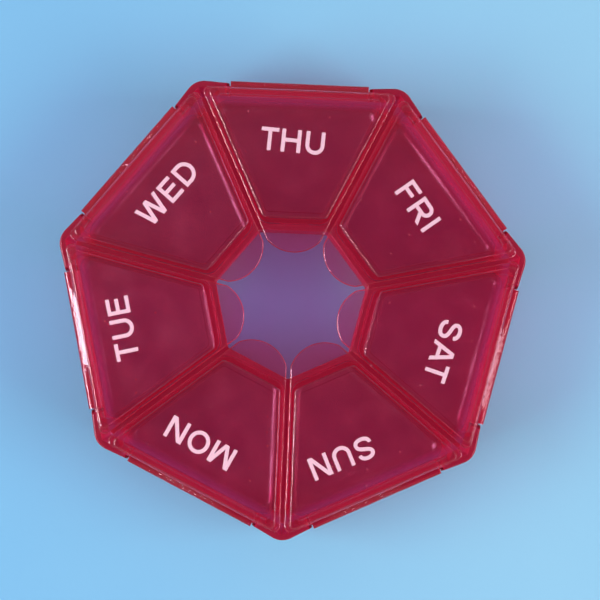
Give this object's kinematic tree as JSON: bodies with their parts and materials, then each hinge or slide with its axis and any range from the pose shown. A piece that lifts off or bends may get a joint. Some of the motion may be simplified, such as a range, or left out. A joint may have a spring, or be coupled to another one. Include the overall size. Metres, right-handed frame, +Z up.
{
  "type": "weekly pill box",
  "caption": "Flat seven-sided pill box with an open middle and a hinged, snap-shut lid with a thumb tab over each day's compartment.",
  "frame": {"origin": "middle of the outline, on the surface that the tray stands on; the hole's own middle lies 2.22 mm towards +Y of it", "axes": "+Z up out of the lids, +Y towards Thursday's lid, +X towards the Friday and Saturday side"},
  "size_m": [0.0954, 0.0932, 0.02],
  "materials": {
    "tray_plastic": "clear red injection-moulded plastic, polished, seen through",
    "lid_plastic": "clear red injection-moulded plastic, polished, thinner than the tray and seen through"
  },
  "bodies": {
    "tray": {"tray": "tray_plastic"},
    "lid_thursday": {"lid_thursday": "lid_plastic"},
    "lid_friday": {"lid_friday": "lid_plastic"},
    "lid_saturday": {"lid_saturday": "lid_plastic"},
    "lid_sunday": {"lid_sunday": "lid_plastic"},
    "lid_monday": {"lid_monday": "lid_plastic"},
    "lid_tuesday": {"lid_tuesday": "lid_plastic"},
    "lid_wednesday": {"lid_wednesday": "lid_plastic"}
  },
  "joints": [
    {"name": "hinge_thursday", "type": "hinge", "parent": "tray", "child": "lid_thursday", "pos_m": [0, 0.04522, 0.0156], "axis": [-1, 0, 0], "range_deg": [0, 105]},
    {"name": "hinge_friday", "type": "hinge", "parent": "tray", "child": "lid_friday", "pos_m": [0.03362, 0.02903, 0.0156], "axis": [-0.6235, 0.7818, 0], "range_deg": [0, 105]},
    {"name": "hinge_saturday", "type": "hinge", "parent": "tray", "child": "lid_saturday", "pos_m": [0.04192, -0.00735, 0.0156], "axis": [0.2225, 0.9749, 0], "range_deg": [0, 105]},
    {"name": "hinge_sunday", "type": "hinge", "parent": "tray", "child": "lid_sunday", "pos_m": [0.01866, -0.03652, 0.0156], "axis": [0.901, 0.4339, 0], "range_deg": [0, 105]},
    {"name": "hinge_monday", "type": "hinge", "parent": "tray", "child": "lid_monday", "pos_m": [-0.01866, -0.03652, 0.0156], "axis": [0.901, -0.4339, 0], "range_deg": [0, 105]},
    {"name": "hinge_tuesday", "type": "hinge", "parent": "tray", "child": "lid_tuesday", "pos_m": [-0.04192, -0.00735, 0.0156], "axis": [0.2225, -0.9749, 0], "range_deg": [0, 105]},
    {"name": "hinge_wednesday", "type": "hinge", "parent": "tray", "child": "lid_wednesday", "pos_m": [-0.03362, 0.02903, 0.0156], "axis": [-0.6235, -0.7818, 0], "range_deg": [0, 105]}
  ]
}
